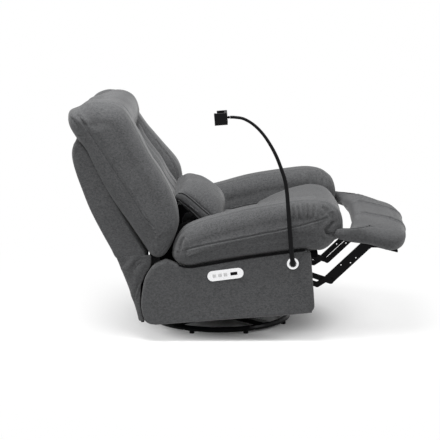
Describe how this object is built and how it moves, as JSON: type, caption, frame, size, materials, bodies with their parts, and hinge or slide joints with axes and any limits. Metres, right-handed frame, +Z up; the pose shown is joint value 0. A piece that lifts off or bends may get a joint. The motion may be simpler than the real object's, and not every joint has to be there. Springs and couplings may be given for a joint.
{
  "type": "reclining armchair",
  "caption": "Fabric swivel rocker recliner with wing back, powered scissor footrest, lumbar pillow, side control plate and a bendable phone-holder arm on a ring base.",
  "frame": {"origin": "floor level under the middle of the bounding box", "axes": "+Y towards the back of the chair, +X towards the sitter's left, +Z up"},
  "size_m": [0.9948, 1.458, 1.0372],
  "materials": {
    "grey_fabric": "woven charcoal upholstery cloth",
    "black_steel": "gloss black paint",
    "bright_metal": "bright plated",
    "black_plastic": "satin black",
    "plywood": "raw board"
  },
  "bodies": {
    "base": {"base_ring": "black_steel"},
    "turntable": {"swivel_bearing": "bright_metal", "turntable_plate": "black_steel", "swivel_pin": "bright_metal", "rocker_tread_left": "black_steel", "rocker_tread_right": "black_steel", "rocker_spring_left_front": "bright_metal", "rocker_spring_left_rear": "bright_metal", "rocker_spring_right_front": "bright_metal", "rocker_spring_right_rear": "bright_metal"},
    "chassis": {"rocker_cam_left": "black_steel", "rocker_cam_right": "black_steel", "side_plate_left": "black_steel", "side_plate_right": "black_steel", "side_panel_left": "grey_fabric", "side_panel_right": "grey_fabric", "arm_pad_left": "grey_fabric", "arm_pad_right": "grey_fabric", "front_rail": "black_steel", "rear_rail": "black_steel", "seat_deck": "plywood", "seat_cushion": "grey_fabric", "rear_board": "plywood", "back_skirt": "grey_fabric", "actuator_housing": "black_plastic", "actuator_motor": "black_plastic", "actuator_guide": "black_steel", "control_plate": "bright_metal", "charging_sockets": "black_plastic", "arm_flange": "bright_metal"},
    "back": {"back_frame": "plywood", "back_hinge_left": "black_steel", "back_hinge_right": "black_steel", "back_wing_left": "grey_fabric", "back_wing_right": "grey_fabric", "back_shell": "grey_fabric", "back_cushion": "grey_fabric", "headrest": "grey_fabric"},
    "front_links": {"front_link_left": "black_steel", "front_link_right": "black_steel", "torque_tube": "black_steel"},
    "outer_links": {"outer_link_left": "black_steel", "outer_link_right": "black_steel"},
    "inner_links": {"inner_link_left": "black_steel", "inner_link_right": "black_steel"},
    "rear_links": {"rear_link_left": "black_steel", "rear_link_right": "black_steel"},
    "footrest": {"footrest_bracket_left": "black_steel", "footrest_bracket_right": "black_steel", "footrest_board": "plywood", "footrest_pad": "grey_fabric"},
    "push_rod": {"push_rod": "black_steel"},
    "lumbar": {"lumbar_pillow": "grey_fabric"},
    "recline_button": {"recline_button": "bright_metal"},
    "footrest_button": {"footrest_button": "bright_metal"},
    "return_button": {"return_button": "bright_metal"},
    "phone_arm": {"arm_plug": "black_plastic", "phone_neck": "black_plastic"},
    "phone_clamp": {"clamp_body": "black_plastic"},
    "clamp_jaw": {"clamp_jaw": "black_plastic"}
  },
  "joints": [
    {"name": "swivel", "type": "hinge", "parent": "base", "child": "turntable", "pos_m": [0.02735, 0.09347, 0], "axis": [0, 0, 1], "continuous": true},
    {"name": "rock", "type": "hinge", "parent": "turntable", "child": "chassis", "pos_m": [0.02735, 0.09347, 0.5257], "axis": [1, 0, 0], "range_deg": [-4, 10], "stiffness_Nm_per_rad": 900, "deforming": ["rocker_spring_left_front", "rocker_spring_left_rear", "rocker_spring_right_front", "rocker_spring_right_rear"]},
    {"name": "recline", "type": "hinge", "parent": "chassis", "child": "back", "pos_m": [0.02735, 0.3447, 0.45507], "axis": [-1, 0, 0], "range_deg": [-14, 23], "deforming": ["back_skirt"]},
    {"name": "lumbar_lean", "type": "hinge", "parent": "chassis", "child": "lumbar", "pos_m": [0.02735, 0.12052, 0.48515], "axis": [-1, 0, 0], "range_deg": [-8, 13]},
    {"name": "footrest_fold", "type": "hinge", "parent": "chassis", "child": "front_links", "pos_m": [0.02735, -0.25725, 0.26271], "axis": [1, 0, 0], "range_deg": [0, 78]},
    {"name": "outer_link_turn", "type": "hinge", "parent": "front_links", "child": "outer_links", "pos_m": [0.02735, -0.37104, 0.22463], "axis": [1, 0, 0], "range_deg": [-93.5, 0.5]},
    {"name": "inner_link_turn", "type": "hinge", "parent": "front_links", "child": "inner_links", "pos_m": [0.02735, -0.39665, 0.21606], "axis": [1, 0, 0], "range_deg": [-93.5, 0.5]},
    {"name": "footrest_turn", "type": "hinge", "parent": "outer_links", "child": "footrest", "pos_m": [0.02735, -0.53517, 0.38202], "axis": [1, 0, 0], "range_deg": [-0.5, 93.5]},
    {"name": "rear_link_turn", "type": "hinge", "parent": "chassis", "child": "rear_links", "pos_m": [0.02735, -0.21511, 0.23732], "axis": [1, 0, 0], "range_deg": [-0.5, 74.5]},
    {"name": "push_rod_slide", "type": "slide", "parent": "chassis", "child": "push_rod", "axis": [0, 0.9969, -0.0785], "range_m": [-0.0005, 0.0815]},
    {"name": "recline_press", "type": "slide", "parent": "chassis", "child": "recline_button", "axis": [1, 0, 0], "range_m": [0, 0.0015], "stiffness_N_per_m": 600},
    {"name": "footrest_press", "type": "slide", "parent": "chassis", "child": "footrest_button", "axis": [1, 0, 0], "range_m": [0, 0.0015], "stiffness_N_per_m": 600},
    {"name": "return_press", "type": "slide", "parent": "chassis", "child": "return_button", "axis": [1, 0, 0], "range_m": [0, 0.0015], "stiffness_N_per_m": 600},
    {"name": "phone_arm_swing", "type": "hinge", "parent": "chassis", "child": "phone_arm", "pos_m": [-0.41765, -0.22335, 0.34931], "axis": [1, 0, 0], "range_deg": [-15, 50]},
    {"name": "phone_clamp_tilt", "type": "hinge", "parent": "phone_arm", "child": "phone_clamp", "pos_m": [-0.45535, 0.04966, 0.98485], "axis": [1, 0, 0], "range_deg": [-30, 30]},
    {"name": "clamp_jaw_open", "type": "slide", "parent": "phone_clamp", "child": "clamp_jaw", "axis": [1, 0, 0], "range_m": [0, 0.02], "stiffness_N_per_m": 250}
  ],
  "couplings": [
    {"joint": "outer_link_turn", "follows": "footrest_fold", "ratio": -1.191},
    {"joint": "inner_link_turn", "follows": "footrest_fold", "ratio": -1.191},
    {"joint": "footrest_turn", "follows": "footrest_fold", "ratio": 1.191},
    {"joint": "rear_link_turn", "follows": "footrest_fold", "ratio": 0.945},
    {"joint": "push_rod_slide", "follows": "footrest_fold", "m_per_rad": 0.0595},
    {"joint": "lumbar_lean", "follows": "recline", "ratio": 0.56}
  ]
}
